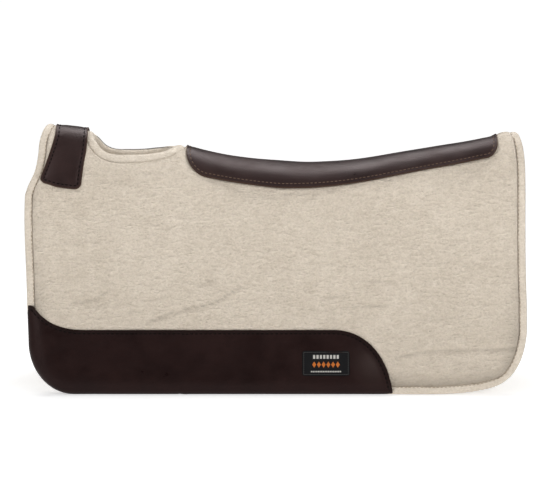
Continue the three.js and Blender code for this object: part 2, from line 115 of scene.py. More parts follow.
def smooth(t):
    """0 before 0, 1 after 1, and an even turn between them."""
    t = np.clip(t, 0, 1)
    return t * t * (3 - 2 * t)


def bezier(points, t):
    """The point, or points, at t on a cubic curve whose control points may be arrays."""
    a, b, c, d = points
    r = 1 - t
    return a * r**3 + 3 * b * r**2 * t + 3 * c * r * t**2 + d * t**3


def bezier_slope(points, t):
    """A third of the curve's slope at t."""
    a, b, c, d = points
    r = 1 - t
    return r**2 * (b - a) + 2 * r * t * (c - b) + t**2 * (d - c)


def section_controls(drop):
    """Control points (out, up) of the crown's section, whose crest is `drop` above the fold."""
    fall = SHOULDER * drop
    zero = np.zeros_like(drop)
    out = (zero, zero + CREST_ROUND, FOLD_Y - fall * LEAN_SIN, zero + FOLD_Y)
    up = (FOLD_Z + drop, FOLD_Z + drop, FOLD_Z + fall * LEAN_COS, zero + FOLD_Z)
    return out, up


def run_along(route):
    """The distance run at each point of a route."""
    return np.r_[0, np.cumsum(np.hypot(*np.diff(route, axis=0).T))]


def section_tables():
    """For each drop: the section's length, and the curve value t at each even share of that length."""
    drops = np.linspace(*DROP_RANGE, 91)
    t = np.linspace(0, 1, 241)
    out, up = section_controls(drops[:, None])
    steps = np.hypot(np.diff(bezier(out, t), axis=1), np.diff(bezier(up, t), axis=1))
    run = np.concatenate([np.zeros((len(drops), 1)), np.cumsum(steps, axis=1)], axis=1)
    shares = np.linspace(0, 1, 121)
    at = np.array([np.interp(shares * row[-1], row, t) for row in run])
    return drops, run[:, -1], at


DROPS, LENGTHS, AT_SHARE = section_tables()


def drop_at(x):
    """How far the fold line is below the crest of the middle surface."""
    return along(CREST_LINE, x) - HALF_THICK - FOLD_Z


def crown_length(x):
    """The distance from the crest to the fold line at x."""
    return np.interp(drop_at(x), DROPS, LENGTHS)


def table_value(drop, share):
    """AT_SHARE read between its entries."""
    row = np.clip((drop - DROPS[0]) / (DROPS[1] - DROPS[0]), 0, len(DROPS) - 1.001)
    column = np.clip(share * (AT_SHARE.shape[1] - 1), 0, AT_SHARE.shape[1] - 1.001)
    i, j = row.astype(int), column.astype(int)
    a, b = row - i, column - j
    return ((1 - a) * ((1 - b) * AT_SHARE[i, j] + b * AT_SHARE[i, j + 1])
            + a * ((1 - b) * AT_SHARE[i + 1, j] + b * AT_SHARE[i + 1, j + 1]))


def parts(places):
    return places[..., 0], places[..., 1]


def unit(vectors):
    return vectors / np.linalg.norm(vectors, axis=-1)[..., None]


def pairs(first, second):
    """Two arrays of numbers as an array of pairs."""
    return np.stack(np.broadcast_arrays(first, second), axis=-1)


def pad_point(places, d, sign=1):
    """Points in metres at (x, s) places, d out, on the side of this sign.

    Below the fold, a layer's places are level with the middle surface's."""
    x, s, d = np.broadcast_arrays(places[..., 0], sign * places[..., 1], d)
    drop = drop_at(x)
    length = np.interp(drop, DROPS, LENGTHS)
    reach = np.abs(s)
    reach = reach + d * LEAN_TAN * smooth((reach - length) / 50)
    t = table_value(drop, np.minimum(reach / length, 1))
    out, up = section_controls(drop)
    beyond = np.maximum(reach - length, 0)
    tangent_y, tangent_z = bezier_slope(out, t), bezier_slope(up, t)
    size = np.hypot(tangent_y, tangent_z)
    tangent_y, tangent_z = tangent_y / size, tangent_z / size
    y = bezier(out, t) + beyond * tangent_y - d * tangent_z
    z = bezier(up, t) + beyond * tangent_z + d * tangent_y
    return np.stack([x, np.where(s < 0, -y, y), z], axis=-1) * MM


def side_s(x, z):
    """s of a place below the fold, from its height."""
    return crown_length(x) + (FOLD_Z - z) / LEAN_COS


# ---- routes on the pad: arrays of (x, s) ----

def curve_points(kind, *points, count=24):
    """Points of a straight, a cubic curve or a quarter ellipse (start, corner, end)."""
    t = np.linspace(0, 1, count)[:, None]
    p = [np.array(q, float) for q in points]
    if kind == "line":
        return p[0] + (p[1] - p[0]) * t
    if kind == "cubic":
        return bezier(p, t)
    centre = p[0] + p[2] - p[1]
    angle = t * math.pi / 2
    return centre + (p[0] - centre) * np.cos(angle) + (p[2] - centre) * np.sin(angle)


def joined(*runs):
    """One route from several that follow on, with no point twice."""
    return np.concatenate([runs[0]] + [run[1:] for run in runs[1:]])


def at_shares(route, shares):
    """The points of a route at shares of its length."""
    run = run_along(route)
    return pairs(*(np.interp(shares * run[-1], run, part) for part in parts(route)))


def resampled(route, count=None, step=None):
    """The route with evenly spaced points."""
    run = run_along(route)
    count = count or max(2, int(round(run[-1] / step)) + 1)
    at = np.linspace(0, run[-1], count)
    return pairs(*(np.interp(at, run, part) for part in parts(route)))


def ring(near, far):
    """A closed outline from two routes that run side by side."""
    return np.concatenate([near, far[::-1], near[:1]])


def moved(route, distance, closed=False):
    """A route moved sideways, to the left as it runs with s upwards."""
    if closed:
        before, after = np.roll(route, 1, axis=0), np.roll(route, -1, axis=0)
    else:
        before = np.concatenate([route[:1], route[:-1]])
        after = np.concatenate([route[1:], route[-1:]])
    run = after - before
    run = run / np.hypot(*run.T)[:, None]
    return route + distance * pairs(-run[:, 1], run[:, 0])


def lower_outline():
    """The edge of one side below the fold, front to rear, as points (x, z)."""
    return [
        curve_points("cubic", (-407, FOLD_Z), (-410, 270), (-403, 200), (-401.5, WEAR_TIP)),
        curve_points("line", (-401.5, WEAR_TIP), (-398.5, 84)),
        curve_points("quarter", (-398.5, 84), (-398.5, 0), (-324, 0)),
        curve_points("line", (-324, 0), (WEAR_REAR, 0), count=60),
        curve_points("line", (WEAR_REAR, 0), (250, 0)),
        curve_points("cubic", (250, 0), (300, 0.5), (335, 5), (357, 13)),
        curve_points("cubic", (357, 13), (385, 24), (403, 52), (407.5, 98)),
        curve_points("line", (407.5, 98), (HALF_LENGTH, 140)),
        curve_points("cubic", (HALF_LENGTH, 140), (406.5, 200), (406.5, 240), (HALF_LENGTH, FOLD_Z)),
    ]


def on_side(points):
    """(x, z) points below the fold as (x, s)."""
    return pairs(points[..., 0], side_s(*parts(points)))


def crown_edge(edge):
    """The crown's front or rear edge from the crest down, from (share of the way, x) pairs."""
    share = np.linspace(0, 1, 40)
    x = along(edge, share)
    return pairs(x, share * crown_length(x))


def edge_route(inset=0.0):
    """The edge of one side, from the crest at the front round to the crest at the rear, moved inwards."""
    front = crown_edge(CROWN_FRONT) + (inset, 0)
    rear = crown_edge(CROWN_REAR)[::-1] - (inset, 0)
    lower = moved(on_side(joined(*lower_outline())), -inset)
    return resampled(joined(front, lower, rear), step=2)


EDGE = edge_route()
WEAR_RUN = on_side(joined(*lower_outline()[1:4]))


def opening_half():
    """Half of the wither opening's outline, front to rear, square to the crest at both ends."""
    half = np.array(OPENING, float)
    far = half[::-1] * (1, -1)
    points = np.concatenate([far[-3:-1], half, far[1:3]])
    steps = run_along(points)
    at = np.linspace(steps[2], steps[-3], 120)
    route = pairs(*(along(pairs(steps, part), at) for part in parts(points)))
    route[0, 1] = route[-1, 1] = 0
    return resampled(route, count=81)


LIP = opening_half()


def seam_route():
    """The felt panel's upper edge: the crest, dipping round the opening's binding."""
    lip = moved(LIP, LIP_WIDTH)
    lip = lip[lip[:, 1] > 0.5]
    front = np.array([(CROWN_FRONT[0][1] + EDGE_WIDTH, 0.3)])
    rear = np.array([(CROWN_REAR[0][1] - EDGE_WIDTH, 0.3)])
    route = np.concatenate([front, lip[:1] * (1, 0) + (0, 0.3), lip, lip[-1:] * (1, 0) + (0, 0.3), rear])
    return resampled(route, step=1.5)


def nearest(route, place):
    """The number of the route's point that is nearest to a place."""
    return int(np.argmin(np.hypot(*(route - place).T)))


def distance_to(points, route):
    """How far each of many (x, s) points is from a route."""
    flat = points.reshape(-1, 2)
    a, b = route[:-1], route[1:]
    along_run = b - a
    size = np.maximum((along_run**2).sum(1), 1e-9)
    found = []
    for part in np.array_split(flat, max(1, len(flat) // 4000)):
        away = part[:, None] - a[None]
        t = np.clip((away * along_run).sum(2) / size, 0, 1)
        gap = away - t[..., None] * along_run
        found.append(np.sqrt((gap**2).sum(2).min(1)))
    return np.concatenate(found).reshape(points.shape[:-1])


def graded(count, finer):
    """Shares from 0 to 1, closer together at both ends."""
    t = np.linspace(0, 1, count)
    return t - finer * np.sin(2 * math.pi * t) / (2 * math.pi)


def coons(top, bottom, front, rear, across, down):
    """A grid of (x, s) inside four routes: top and bottom run to the rear, front and rear run down."""
    t, b = at_shares(top, across)[:, None], at_shares(bottom, across)[:, None]
    f, r = at_shares(front, down)[None], at_shares(rear, down)[None]
    u, v = across[:, None, None], down[None, :, None]
    corners = ((1 - u) * (1 - v) * t[0, 0] + u * (1 - v) * t[-1, 0]
               + (1 - u) * v * b[0, 0] + u * v * b[-1, 0])
    return (1 - v) * t + v * b + (1 - u) * f + u * r - corners


def roll(distance, width):
    """1 at an edge, falling to 0 as a quarter round of this width."""
    t = 1 - np.clip(distance / width, 0, 1)
    return 1 - np.sqrt(np.maximum(1 - t**2, 0))


# ---- meshes ----

def make_object(name, points, faces, material, **values):
    """A mesh object whose faces point out. values are float attributes on its points."""
    mesh = bpy.data.meshes.new(name)
    mesh.from_pydata(np.asarray(points).reshape(-1, 3).tolist(), [], [tuple(map(int, f)) for f in faces])
    for key, value in values.items():
        layer = mesh.attributes.new(key, "FLOAT", "POINT")
        layer.data.foreach_set("value", np.asarray(value, np.float32).ravel())
    mesh.polygons.foreach_set("use_smooth", [True] * len(mesh.polygons))
    mesh.materials.append(material)
    shape = bmesh.new()
    shape.from_mesh(mesh)
    if shape.calc_volume(signed=True) < 0:
        mesh.flip_normals()
    shape.free()
    mesh.update()
    thing = bpy.data.objects.new(name, mesh)
    bpy.context.scene.collection.objects.link(thing)
    return thing


def grid_faces(columns, rows, index):
    """Quads over a grid of point numbers."""
    i, j = np.meshgrid(np.arange(columns - 1), np.arange(rows - 1), indexing="ij")
    i, j = i.ravel(), j.ravel()
    return np.stack([index[i, j], index[i + 1, j], index[i + 1, j + 1], index[i, j + 1]], axis=1)


def shell(name, outer, inner, material, **values):
    """A closed sheet between two grids of points that meet at their edges."""
    columns, rows = outer.shape[:2]
    front = np.arange(columns * rows).reshape(columns, rows)
    back = front.copy()
    middle = np.zeros((columns, rows), bool)
    middle[1:-1, 1:-1] = True
    back[middle] = columns * rows + np.arange(middle.sum())
    faces = np.concatenate([grid_faces(columns, rows, front), grid_faces(columns, rows, back)[:, ::-1]])
    points = np.concatenate([outer.reshape(-1, 3), inner[middle]])
    both = {k: np.concatenate([v.ravel(), v[middle]]) for k, v in values.items()}
    return make_object(name, points, faces, material, **both)


def tube_faces(rings, corners, closed=False):
    """Faces of a tube through rings of numbered points, with its two ends capped unless it is closed."""
    index = np.arange(rings * corners).reshape(rings, corners)
    index = np.concatenate([index, index[:, :1]], axis=1)
    if closed:
        index = np.concatenate([index, index[:1]])
    faces = list(grid_faces(*index.shape, index))
    return faces if closed else faces + [index[0, :-1], index[-1, :-1][::-1]]


# ---- materials ----

class Shader:
    """A material's nodes. A value given to a method is a number, a colour of three numbers or an output."""

    def __init__(self, name, roughness, shine=0.5):
        self.material = bpy.data.materials.new(name)
        self.material.use_nodes = True
        self.tree = self.material.node_tree
        self.set("Roughness", roughness)
        self.set("Specular IOR Level", shine)

    def set(self, name, value):
        """Sets one of the surface's inputs."""
        self.put(self.tree.nodes["Principled BSDF"].inputs[name], value)

    def put(self, socket, value):
        if isinstance(value, bpy.types.NodeSocket):
            self.tree.links.new(value, socket)
        else:
            socket.default_value = (*value, 1) if socket.type == "RGBA" else value

    def node(self, kind, inputs=(), output=0, **settings):
        """Adds a node. inputs maps a name or number to a value."""
        made = self.tree.nodes.new("ShaderNode" + kind)
        for key, value in settings.items():
            setattr(made, key, value)
        for key, value in dict(inputs).items():
            self.put(made.inputs[key], value)
        return made.outputs[output]

    def place(self):
        return self.node("TexCoord", output="Object")

    def noise(self, scale, detail, stretch=(1, 1, 1), offset=(0, 0, 0)):
        """Noise, `scale` cells to the metre, stretched along an axis where stretch is below 1."""
        place = self.node("Mapping", {"Vector": self.place(), "Location": offset, "Scale": stretch})
        return self.node("TexNoise", {"Vector": place, "Scale": scale, "Detail": detail, "Roughness": 0.6})

    def ribs(self, scale, uneven, direction):
        """Parallel ribs, for a weave."""
        inputs = {"Vector": self.place(), "Scale": scale, "Distortion": uneven}
        return self.node("TexWave", inputs, 1, bands_direction=direction)

    def spread(self, value, low, high, to_low=0.0, to_high=1.0):
        """value from low..high moved to to_low..to_high."""
        return self.node("MapRange", {0: value, 1: low, 2: high, 3: to_low, 4: to_high})

    def mix(self, share, a, b):
        return self.node("Mix", {0: share, 6: a, 7: b}, 2, data_type="RGBA")

    def add(self, a, b, kind="ADD"):
        return self.node("Math", {0: a, 1: b}, operation=kind)

    def times(self, a, b):
        return self.add(a, b, "MULTIPLY")

    def mark(self, name):
        """A float attribute of the mesh."""
        return self.node("Attribute", output="Fac", attribute_name=name)

    def finish(self, colour, height, distance, strength=1.0):
        """Gives the surface its colour and its relief, `distance` metres deep, and returns the material."""
        self.set("Base Color", colour)
        self.set("Normal", self.node("Bump", {"Height": height, "Distance": distance, "Strength": strength}))
        return self.material


def scaled(colour, factor):
    return tuple(factor * part for part in colour)


# Painted shade on binding rims that turn away from the light.
RIM_SHADE_COLOUR = (0.09, 0.08, 0.07)
SEAM_COLOUR = (0.38, 0.27, 0.16)
# Colour of a painted highlight: a soft sheen on the wear leather.
PAINTED_HIGHLIGHT_COLOUR = (0.06, 0.043, 0.039)
LEATHER_BORDER = (0.003, 0.0016, 0.0014)


def felt_material(name, light, dark, nap_depth=0.0024):
    """Pressed wool: soft mottling, short ripples that run along the pad, darker flecks and a nap."""
    m = Shader(name, 0.95, 0.2)
    blotches = m.noise(9, 4, (1, 1, 1.4))
    patches = m.noise(60, 3, (0.7, 1, 1))
    ripples = m.noise(190, 3, (0.4, 1, 1), (2, 5, 1))
    tufts = m.noise(330, 4, (0.8, 1, 1))
    flecks = m.noise(600, 2, (0.6, 1, 1), (3, 1, 2))
    tone = m.spread(blotches, 0.35, 0.65, 0, 0.2)
    for layer, low, weight in [(patches, 0.35, 0.22), (ripples, 0.34, 0.26), (tufts, 0.38, 0.46)]:
        tone = m.add(tone, m.spread(layer, low, 1 - low, 0, weight))
    colour = m.mix(m.spread(flecks, 0.64, 0.74, 0, 0.5), m.mix(tone, dark, light), scaled(dark, 0.5))
    # The 'shade' and 'rim' marks mix in painted shade. The 'seam' mark is the brown line along the seams.
    for mark, seam_line_and_painted_shade in [("shade", scaled(dark, 0.62)), ("seam", SEAM_COLOUR), ("rim", RIM_SHADE_COLOUR)]:
        colour = m.mix(m.mark(mark), colour, seam_line_and_painted_shade)
    m.set("Sheen Weight", 0.25)
    m.set("Sheen Roughness", 0.6)
    nap = m.add(tufts, m.times(ripples, 1.8))
    return m.finish(colour, m.add(nap, m.times(patches, 1.6)), nap_depth)


def leather_material(name, colour, sheen_colour, edge_colour, shine):
    """Oiled leather: fine grain, uneven polish, faint scuffs, a burnished cut edge, and a painted highlight
    where the mesh marks one.
    """
    roughness = 0.37
    m = Shader(name, roughness, shine)
    grain = m.node("TexVoronoi", {"Vector": m.place(), "Scale": 620})
    polish = m.noise(16, 4)
    rubbed = m.noise(120, 5, (0.4, 1, 1))
    edge = m.mark("edge")
    shade = m.mix(m.spread(polish, 0.35, 0.68), colour, sheen_colour)
    scuff = m.times(m.spread(rubbed, 0.62, 0.8, 0, 0.25), m.spread(polish, 0.4, 0.6))
    shade = m.mix(scuff, shade, scaled(sheen_colour, 3.2))
    # This mark mixes in a painted highlight, a lighter soft patch.
    shade = m.mix(m.mark("painted_highlight"), shade, PAINTED_HIGHLIGHT_COLOUR)
    shade = m.mix(m.mark("border"), shade, LEATHER_BORDER)
    shade = m.mix(edge, shade, edge_colour)
    gloss = m.add(m.spread(polish, 0.3, 0.7, -0.09, 0.09), m.spread(rubbed, 0.3, 0.7, -0.05, 0.08))
    m.set("Roughness", m.add(m.add(gloss, roughness), m.times(edge, 0.18)))
    m.set("Specular Tint", (1.0, 0.78, 0.77))
    return m.finish(shade, m.add(grain, m.times(rubbed, 0.8)), 0.0005, 0.45)


def thread_material(name, colour, roughness=0.6, shine=0.4):
    """Waxed thread with its twist across it."""
    m = Shader(name, roughness, shine)
    return m.finish(m.mix(m.noise(900, 2), scaled(colour, 0.6), colour), m.noise(2200, 1), 0.0003)


def tape_material():
    """Webbing: a fine weave of ribs across it."""
    m = Shader("webbing", 0.85)
    height = m.add(m.ribs(190, 0.4, "X"), m.ribs(190, 0.4, "Y"))
    return m.finish(m.mix(m.spread(height, 0, 2), (0.05, 0.03, 0.022), (0.13, 0.085, 0.06)), height, 0.0006)


def label_material():
    """A woven label: black, with a thin grey border, pale bars and a row of amber lozenges."""
    m = Shader("woven_label", 0.75, 0.2)
    black, grey = (0.006, 0.006, 0.007), (0.06, 0.06, 0.06)
    cream, amber = (0.62, 0.6, 0.56), (0.6, 0.17, 0.03)
    u, v = m.mark("across"), m.mark("up")

    def off(value, middle):
        return m.node("Math", {0: m.add(value, middle, "SUBTRACT")}, operation="ABSOLUTE")

    def below(value, limit, soft=0.006):
        return m.spread(value, limit - soft, limit + soft, 1, 0)

    def cell(count):
        return m.node("Math", {0: m.times(u, count)}, operation="FRACT")

    def dashes(count, filled, middle, half_tall, half_wide):
        row = m.times(below(off(v, middle), half_tall), below(to_side, half_wide))
        return m.times(row, below(off(cell(count), 0.5), filled / 2, 0.04))

    to_side, to_top = off(u, 0.5), off(v, 0.5)
    long_sides = below(off(to_top, 0.4475), 0.0075, 0.004)
    short_sides = below(off(to_side, 0.472), 0.004, 0.002)
    border = m.add(long_sides, short_sides, "MAXIMUM")
    border = m.times(border, m.times(below(to_top, 0.457), below(to_side, 0.478)))
    bars = m.add(dashes(14, 0.62, 0.76, 0.075, 0.285), dashes(28, 0.75, 0.17, 0.026, 0.325), "MAXIMUM")
    slope = m.add(m.times(off(cell(10), 0.5), 0.3), off(v, 0.45))
    lozenges = m.times(below(slope, 0.125), below(to_side, 0.3))
    shade = m.mix(lozenges, m.mix(bars, m.mix(border, black, grey), cream), amber)
    return m.finish(shade, m.ribs(480, 0.3, "DIAGONAL"), 0.0003)


FELT = felt_material("wool_felt", (0.80, 0.705, 0.59), (0.58, 0.495, 0.395))
EDGE_FELT = felt_material("edge_felt", (0.81, 0.72, 0.61), (0.6, 0.52, 0.42), 0.0012)
LINING_FELT = felt_material("lining_felt", (0.74, 0.67, 0.56), (0.56, 0.49, 0.39))
CORE_FELT = felt_material("core_felt", (0.5, 0.46, 0.4), (0.34, 0.3, 0.26))
LEATHER = leather_material("dark_leather", (0.0105, 0.0042, 0.0037), (0.018, 0.0068, 0.0057),
                           (0.05, 0.026, 0.013), 0.38)
WEAR_LEATHER = leather_material("dark_wear_leather", (0.0095, 0.0038, 0.0034), (0.0155, 0.006, 0.0051),
                                (0.03, 0.016, 0.009), 0.17)
TAPE = tape_material()
LABEL = label_material()
FELT_THREAD = thread_material("pale_thread", (0.5, 0.38, 0.25))
DARK_THREAD = thread_material("dark_thread", (0.008, 0.005, 0.004), 0.85, 0.1)
SPINE_THREAD = thread_material("brown_thread", (0.17, 0.105, 0.07), 0.6, 0.25)
LABEL_THREAD = thread_material("label_thread", (0.04, 0.035, 0.03))


# ---- the padded felt ----


def declare(piece, slot, follows, *nodes):
    """The nodes a piece replaces and the body it follows; slot is not used.

    A side's name stands for the two bodies that meet at its fold, the crown above it and the flap below; a
    piece given one is left where it is, attached to neither."""
    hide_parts(*nodes)
    if follows in SIDES:
        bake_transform(piece)
    else:
        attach(piece, follows)


PANEL_EDGE = edge_route(EDGE_WIDTH)
PANEL_TOP = seam_route()
FRONT_CORNER = on_side(np.array([-377.0, 27.0]))
REAR_CORNER = on_side(np.array([377.0, 31.0]))
SEAM_DEPTH = 7.2
CREST_RISE = 2.2
CREST_REACH = 40
FINER_ACROSS, FINER_DOWN = 0.35, 0.6


def undulation(places, seed, size, tall):
    """Gentle unevenness, in millimetres: waves in many directions, `size` long and `tall` high."""
    x, s = parts(places)
    pick = np.random.default_rng(seed)
    total = np.zeros_like(x)
    waves = 14
    for _ in range(waves):
        turn, phase = pick.uniform(0, math.pi), pick.uniform(0, 2 * math.pi)
        length = size * pick.uniform(0.6, 1.7)
        total += np.sin(2 * math.pi * (x * math.cos(turn) + s * math.sin(turn)) / length + phase)
    return tall * total / math.sqrt(waves)


def panel_grid(inset, columns, rows):
    """A grid of (x, s) over one side, `inset` inside the seams."""
    edge = edge_route(EDGE_WIDTH + inset)
    top = PANEL_TOP + (0, inset)
    top = pairs(np.clip(top[:, 0], edge[0, 0], edge[-1, 0]), top[:, 1])
    a, b = nearest(edge, FRONT_CORNER), nearest(edge, REAR_CORNER)
    front = joined(top[:1], edge[1 + int(inset):a + 1])
    rear = joined(edge[b:len(edge) - 1 - int(inset)], top[-1:])[::-1]
    return coons(top, edge[a:b + 1], front, rear, graded(columns, FINER_ACROSS), graded(rows, FINER_DOWN))


def covered(grid, outline):
    """1 inside a closed outline, falling to 0 a margin outside it."""
    margin = 8
    x, s = parts(grid)
    inside = np.zeros(x.shape, bool)
    for (ax, a), (bx, b) in zip(outline[:-1], outline[1:]):
        if a != b:
            inside ^= ((a > s) != (b > s)) & (x < ax + (s - a) * (bx - ax) / (b - a))
    return np.where(inside, 1, smooth(1 - distance_to(grid, outline) / margin))


def leather_cover(grid):
    """Where leather presses the top felt of one side: 1 under it, 0 clear of it."""
    past_crest = -9
    wear = ring(resampled(wear_edge_points(), step=6), resampled(WEAR_RUN, step=6))
    x = np.linspace(SPINE_FRONT, SPINE_REAR, 60)
    spine = ring(pairs(x, spine_half_width(x)), pairs(x[[0, -1]], past_crest))
    s = np.array([past_crest, 0, 30, 60, 90, STRAP_REACH])
    strap = ring(pairs(along(STRAP_FRONT, s), s), pairs(along(STRAP_REAR, s), s))
    return np.max([covered(grid, outline) for outline in (wear, spine, strap)], axis=0)


def crest_rise(places):
    """How much thicker the pad's edges are at the crest."""
    return CREST_RISE * smooth(1 - places[..., 1] / CREST_REACH)


def panel_height(grid):
    """How high the padding stands at places on one side, and how far each is from the nearest seam."""
    x, s = parts(grid)
    to_edge, to_top = distance_to(grid, PANEL_EDGE), distance_to(grid, PANEL_TOP)
    round_width = 13 + 13 * smooth((s - 330) / 60)
    seam = SEAM_DEPTH + crest_rise(grid)
    height = seam + (HALF_THICK - seam) * (1 - roll(to_edge, round_width))
    at_opening = np.interp(x, PANEL_TOP[:, 0], smooth((PANEL_TOP[:, 1] - 2) / 8))
    height -= (3.0 + 3.5 * at_opening) * roll(to_top, 7 + 4 * at_opening)
    return np.maximum(height, SEAM_DEPTH - 1.0), np.minimum(to_edge, to_top)


SWELL_FRAMES = 20
SWELL_CAP = 2.5
FILLING_PRESSURE = 1.5
FELT_STIFFNESS = 0.6


def swell(columns, rows, sign, way, grown):
    """How far a felt sheet held at its seams swells when the pad is filled, in millimetres on a coarse grid.

    A cloth simulation of the sheet under pressure, cut larger than its place by the share `grown`; way is 1
    outside, -1 inside. It starts from whole micrometres, because the last bit of a place can differ from one
    run to the next, and the simulation would make a visible difference of it."""
    grid = panel_grid(0, columns, rows)
    height, _ = panel_height(grid)
    rest = np.round(pad_point(grid, way * height, sign), 6)
    out = unit(pad_point(grid, way * (height + 1), sign) - rest)
    index = np.arange(columns * rows).reshape(columns, rows)
    sheet = make_object("swelling_sheet", rest, grid_faces(columns, rows, index), FELT)
    middle = columns // 2, rows // 2
    if np.dot(sheet.data.vertices[int(index[middle])].normal, out[middle]) < 0:
        sheet.data.flip_normals()
    held = sheet.vertex_groups.new(name="held")
    ends = np.unique(np.concatenate([index[0], index[-1], index[:, 0], index[:, -1]]))
    held.add(ends.tolist(), 1.0, "REPLACE")
    cloth = sheet.modifiers.new("swell", "CLOTH")
    cloth.point_cache.frame_end = SWELL_FRAMES
    cloth.settings.vertex_group_mass = "held"
    cloth.settings.use_pressure = True
    cloth.settings.uniform_pressure_force = FILLING_PRESSURE
    cloth.settings.shrink_min = -grown
    cloth.settings.bending_stiffness = FELT_STIFFNESS
    cloth.settings.effector_weights.gravity = 0
    scene = bpy.context.scene
    for frame_number in range(1, SWELL_FRAMES + 1):
        scene.frame_set(frame_number)
    swollen = sheet.evaluated_get(bpy.context.evaluated_depsgraph_get()).data
    co = np.empty(columns * rows * 3)
    swollen.vertices.foreach_get("co", co)
    moved_out = ((co.reshape(columns, rows, 3) - rest) * out).sum(axis=-1) / MM
    bpy.data.objects.remove(sheet)
    scene.frame_set(1)
    return np.clip(moved_out, -SWELL_CAP, SWELL_CAP)


def refined(coarse, columns, rows):
    """A coarse panel grid's values read on a finer panel grid."""
    across, down = (graded(n, k) for n, k in zip(coarse.shape, (FINER_ACROSS, FINER_DOWN)))
    fine_across, fine_down = graded(columns, FINER_ACROSS), graded(rows, FINER_DOWN)
    half = np.stack([np.interp(fine_across, across, row) for row in coarse.T])
    return np.stack([np.interp(fine_down, down, column) for column in half.T])


def felt_sheet(side, name, slot, layer, grid, height, way, material, **marks):
    """One sheet of felt, from its outer height to a felt's thickness inside it, pinched at its seams.

    Cut flat, it is as long as the pad and as wide as its side, less its rounded corners."""
    sign, gap = SIDES[side], panel_height(grid)[1]
    outer = pad_point(grid, way * height, sign)
    inner = pad_point(grid, way * (height - FELT_THICK * smooth(gap / 5)), sign)
    piece = shell(f"{side}_{name}", outer, inner, material, **marks)
    declare(piece, slot, side, f"{side}_{layer}", f"{side}_crown_{layer}")


def top_felt(side):
    """The outer felt: swelled, creased and pressed down under leather, with painted shade low down, at its
    seams and in its creases.
    """
    sign = SIDES[side]
    columns, rows = 240, 140
    grid = panel_grid(0, columns, rows)
    height, gap = panel_height(grid)
    free = smooth(gap / 30)
    sway = free * (undulation(grid, 11 + sign, 130, 0.5) + undulation(grid, 21 + sign, 48, 0.2))
    sway += free * undulation(grid * (0.6, 1), 51 + sign, 20, 0.14)
    sway += refined(swell(90, 54, sign, 1, 0.004), columns, rows)
    folds, marks = creases(grid)
    sway += folds * smooth(gap / 8)
    sway = np.minimum(sway, HALF_THICK - height + 9 * (1 - leather_cover(grid)))
    # Painted shade: darker low down, darker still where the panel rolls down to its lower edge, beside the
    # seams and in the creases.
    low = smooth((grid[..., 1] - 180) / 260)
    near_edge = 1 - smooth(distance_to(grid, PANEL_EDGE) / 32)
    shade = 0.18 * low + 0.6 * near_edge * low + 0.15 * (1 - smooth(gap / 9)) + marks
    felt_sheet(side, "felt_panel", "felt", "top_felt", grid, height + sway, 1, FELT,
               shade=shade, seam=0.6 * (1 - smooth(gap / 2.0)))


def lining_felt(side):
    """The felt against the horse."""
    sign = SIDES[side]
    columns, rows = 100, 60
    grid = panel_grid(0, columns, rows)
    height, gap = panel_height(grid)
    sway = smooth(gap / 30) * undulation(grid, 31 + sign, 90, 0.5)
    sway += refined(swell(60, 36, sign, -1, 0.003), columns, rows)
    felt_sheet(side, "lining_panel", "lining", "lining", grid, height + sway, -1, LINING_FELT)


def core_pad(side):
    """The thick felt core between the two."""
    inset, clearance, thinnest = 3, 3.2, 0.6
    grid = panel_grid(inset, 70, 42)
    half = np.maximum(panel_height(grid)[0] - FELT_THICK - clearance, thinnest)
    for seam in (edge_route(EDGE_WIDTH + inset), PANEL_TOP + (0, inset)):
        half = half * smooth(distance_to(grid, seam) / inset)
    faces = (pad_point(grid, way * half, SIDES[side]) for way in (1, -1))
    piece = shell(f"{side}_core_pad", *faces, CORE_FELT)
    declare(piece, "core", side, f"{side}_core", f"{side}_crown_core")


CREASES = [
    ([(-208, 114), (-165, 130), (-112, 143), (-98, 146), (-76, 159), (-50, 174)], 3.4, 2.4),
    ([(-128, 172), (-113, 177), (-93, 185)], 3.2, 1.8),
    ([(-331, 145), (-289, 152), (-270, 164)], 3, 1.4),
    ([(-362, 236), (-316, 237), (-260, 234)], 7, -1.6),
    ([(-240, 127), (-224, 134)], 3.2, 1.7),
    ([(193, 60), (253, 69), (348, 72), (391, 74.5)], 3.2, 1.6),
    ([(118, 141), (187, 141)], 3, 1.2),
    ([(148, 178), (198, 178)], 3, 1.2),
    ([(70, 154), (115, 154)], 3, 1.2),
    ([(230, 118), (300, 121)], 3, 1.1),
]


def creases(grid):
    """Shallow folds in the top felt, and the painted shade that darkens each.

    Each runs along a line of (x, z) places, with its width and depth in millimetres."""
    x, s = parts(grid)
    height, mark = np.zeros_like(x), np.zeros_like(x)
    for line, width, deep in CREASES:
        start, end = line[0][0], line[-1][0]
        fade = smooth((x - start) / 14 + 0.3) * smooth((end - x) / 14 + 0.3)
        off = s - side_s(x, along(line, np.clip(x, start, end)))
        height -= deep * fade * (np.exp(-(off / width)**2) - 0.45 * np.exp(-(off / width - 2)**2))
        # Painted shade along each crease's fold.
        mark += max(deep, 0) / 5 * fade * np.exp(-(off / 1.9)**2)
    return height, mark


# ---- edge bindings ----

BINDING_PROFILE = [
    (1, 0.78), (0.96, 0.86), (0.88, 0.95), (0.72, 0.99), (0.5, 1), (0.27, 0.95), (0.1, 0.8), (0.02, 0.5),
    (0, 0.15),
]
BINDING_HALF_THICK = 8
BINDING_SEAM_INSET = 1.4
HIDDEN_RUN = 7


